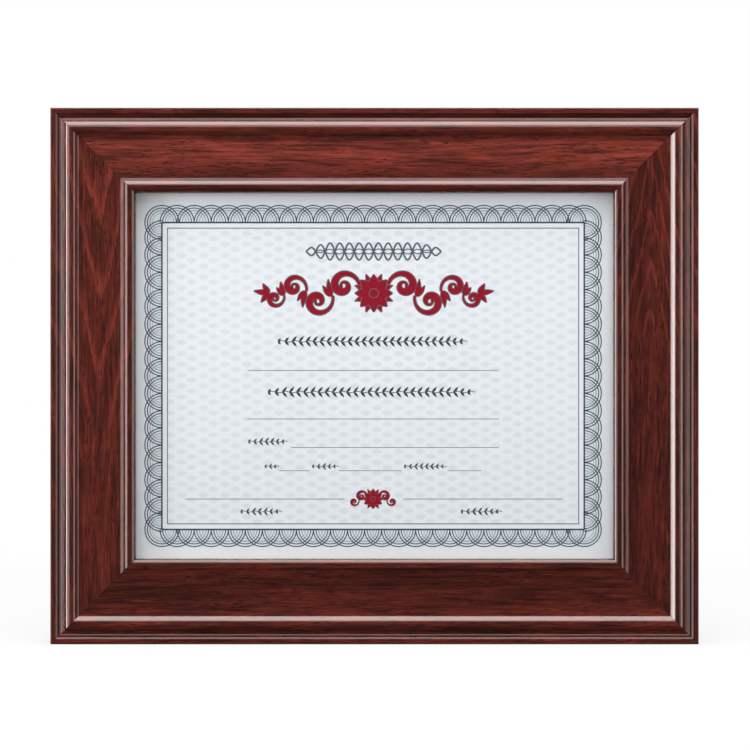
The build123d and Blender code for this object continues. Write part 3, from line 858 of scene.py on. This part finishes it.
# Each rule's left end, right end and height
rules = [
    (-71.3, 69.7, 3.1),
    (-71.4, 69.8, -24.1),
    (-47.0, 69.8, -40.1),
    (-53.5, -36.4, -53.1),
    (-20.1, 15.1, -53.1),
    (41.2, 59.9, -53.1),
    (-106.2, -17.1, -69.0),
    (16.0, 105.1, -69.0),
]
print_piece("ruled_lines", [straight_rules(rules, 0.42, rule_level)], rule_ink)
band_middle = (-0.5, 69.8)
wide_twist = twisted_band(band_middle, 76.0, 9.5, 14, 1.0, 0.02)
narrow_twist = twisted_band(band_middle, 66.0, 2.8, 12, 0.6, 0.05)
print_piece("small_title_band", [wide_twist, narrow_twist], grey_ink)
for piece_name, drawing in (("big_ornament", big_ornament), ("small_emblem", small_emblem)):
    main_groups, edge_groups = drawing()
    print_piece(piece_name, main_groups, red_ink)
    print_piece(f"{piece_name}_edge", edge_groups, grey_ink)
# Each garland's middle, length, height, joints and pen width
garlands = [
    ((-1.1, 19.4), 106.0, 7.4, 27, 0.42),
    ((-1.7, -9.0), 116.0, 7.4, 29, 0.42),
    ((-59.7, -36.8), 22.0, 5.6, 7, 0.38),
    ((-57.5, -50.7), 8.0, 5.0, 3, 0.38),
    ((-27.4, -50.7), 15.0, 5.0, 5, 0.38),
    ((28.6, -50.7), 24.0, 5.0, 8, 0.38),
    ((-63.5, -76.0), 23.0, 5.6, 7, 0.38),
    ((60.0, -76.0), 23.0, 5.6, 7, 0.38),
]
garland_groups = [group for row in garlands for group in leaf_garland(*row, 0.02)]
print_piece("pen_vines", garland_groups, script_ink)

# Better finishes on the model's own nodes

finish_of_slot = {
    "clear_pane": clear_glass(),
    "grey_card": grey_card(),
    "panel_board": papered_board("black_paper_panel", "back_panel", 0.0),
    "leg_board": papered_board("black_paper_leg", "easel_leg", 40.0),
    "zinc_steel": plated_steel("zinc_plate", colour(205, 206, 208), 0.26, (0.4, 6.0, 6.0)),
    "bright_steel": plated_steel("bright_steel", colour(214, 212, 208), 0.20, (5.0, 0.5, 5.0)),
}
for row in frame["record"]["subparts"]:
    finish = finish_of_slot.get(row["material_slot"])
    if finish is not None:
        for slot in frame["nodes"][row["node"]].material_slots:
            slot.material = finish

# The studio


def lamp(name, place, turn, size, power):
    """A flat white lamp, unseen by the camera itself: place and size in metres, turn in degrees."""
    light = bpy.data.lights.new(name, "AREA")
    light.shape = "RECTANGLE"
    light.size, light.size_y = size
    light.energy = power
    holder = bpy.data.objects.new(name, light)
    holder.location = place
    holder.rotation_euler = np.radians(turn).tolist()
    holder.visible_camera = False
    bpy.context.scene.collection.objects.link(holder)


lamp("top_softbox", (0.0, -0.705, 2.4), (0, 0, 0), (1.4, 2.11), 56.0)
lamp("top_front_fill", (0.0, -2.05, 1.75), (52, 0, 0), (1.5, 1.3), 14.0)
lamp("left_strip", (-2.4, -1.065, 0.15), (0, -90, 0), (1.0, 0.77), 34.0)
lamp("left_front_fill", (-1.60, -2.05, 0.15), (90, 0, -38), (1.3, 1.2), 12.3)
lamp("right_strip", (2.4, -1.42, 0.15), (0, 90, 0), (1.0, 0.90), 12.5)
lamp("right_front_fill", (1.60, -2.05, 0.15), (90, 0, 38), (1.3, 1.2), 6.8)


def ray(tree, kind):
    """1 for light paths of one kind, else 0."""
    return tree.node("LightPath", (), (), f"Is {kind} Ray")


def seen_straight(tree):
    """1 for what the camera sees without a mirror, also through something clear."""
    return tree.math("MAXIMUM", ray(tree, "Camera"), ray(tree, "Transmission"))


def pale_floor():
    """A white floor that glows by itself where it is seen, and keeps part of the shadow near the frame.

    It is seen by the camera and through glass. In a mirror surface only its part behind the frame shows,
    and the part in front lets the ray through, so that it hides no lamp from the moulding's gloss. The
    share of its light that it makes itself is 1 - 0.28 * near, with near falling from 1 at 0.3 m from
    the origin to 0 at 0.9 m, so far off it is as white as the world.
    """
    shadow_share = 0.28
    front_end, back_start = 0.05, 0.30
    finish = bpy.data.materials.new("pale_floor")
    finish.use_nodes = True
    tree = Wire(finish.node_tree)
    finish.node_tree.nodes.remove(finish.node_tree.nodes["Principled BSDF"])
    x, y, _ = place_on(tree, 1.0)
    near = ((x * x + y * y) ** 0.5).rise(0.9, 0.3)
    glossy = ray(tree, "Glossy")
    seen = tree.math("MAXIMUM", seen_straight(tree), glossy * y.rise(front_end, back_start))
    plain = seen.tint((0.12, 0.12, 0.12, 1.0), (0.85, 0.85, 0.85, 1.0))
    matt = tree.node("BsdfDiffuse", (), {"Color": plain})
    glow = tree.node("Emission", (), {"Color": (1, 1, 1, 1), "Strength": 1.0})
    mixed = tree.node("MixShader", (), {0: seen * (1 - near * shadow_share), 1: matt, 2: glow})
    clear = tree.node("BsdfTransparent")
    in_front = glossy * y.rise(back_start, front_end)
    mixed = tree.node("MixShader", (), {0: in_front, 1: mixed, 2: clear})
    tree.tree.links.new(mixed.socket, finish.node_tree.nodes["Material Output"].inputs["Surface"])
    return finish


floor_reach, floor_front, floor_depth = 3000, -520, 40
floor_corners = (-floor_reach, floor_front, -floor_depth), (floor_reach, floor_reach, 0)
floor = block("floor", *floor_corners, pale_floor())

world = bpy.data.worlds.new("studio")
bpy.context.scene.world = world
world.use_nodes = True
# White where the camera sees it, dim as a lamp, and in mirrors nearly dark but for its far back
mirrored_front, ambient = 0.04, 0.32
sky = Wire(world.node_tree)
direction = sky.node("TexCoord", (), (), "Generated")
behind = sky.node("SeparateXYZ", (), {0: direction}, "Y")
glossy = ray(sky, "Glossy")
mirrored = glossy * (mirrored_front + behind.rise(0.40, 0.95) * (1 - mirrored_front))
level = sky.math("MAXIMUM", seen_straight(sky), mirrored)
level = sky.math("MAXIMUM", level, (1 - glossy) * ambient)
shell = world.node_tree.nodes["Background"]
shell.inputs["Color"].default_value = (1, 1, 1, 1)
world.node_tree.links.new(level.socket, shell.inputs["Strength"])

# The photograph's view: at 1600 mm from the camera, 419.2 mm fill the picture's width
sensor_width, view_distance, view_width = 36.0, 1600.0, 419.2
camera = bpy.data.cameras.new("camera")
camera.sensor_width = sensor_width
camera.lens = sensor_width * view_distance / view_width
camera.clip_start = 0.01
eye = bpy.data.objects.new("camera", camera)
eye.location = (0.00028, -1.606, 0.15036)
eye.rotation_euler = (np.pi / 2, 0, 0)
bpy.context.scene.collection.objects.link(eye)
bpy.context.scene.camera = eye
bpy.context.scene.view_settings.view_transform = "Standard"
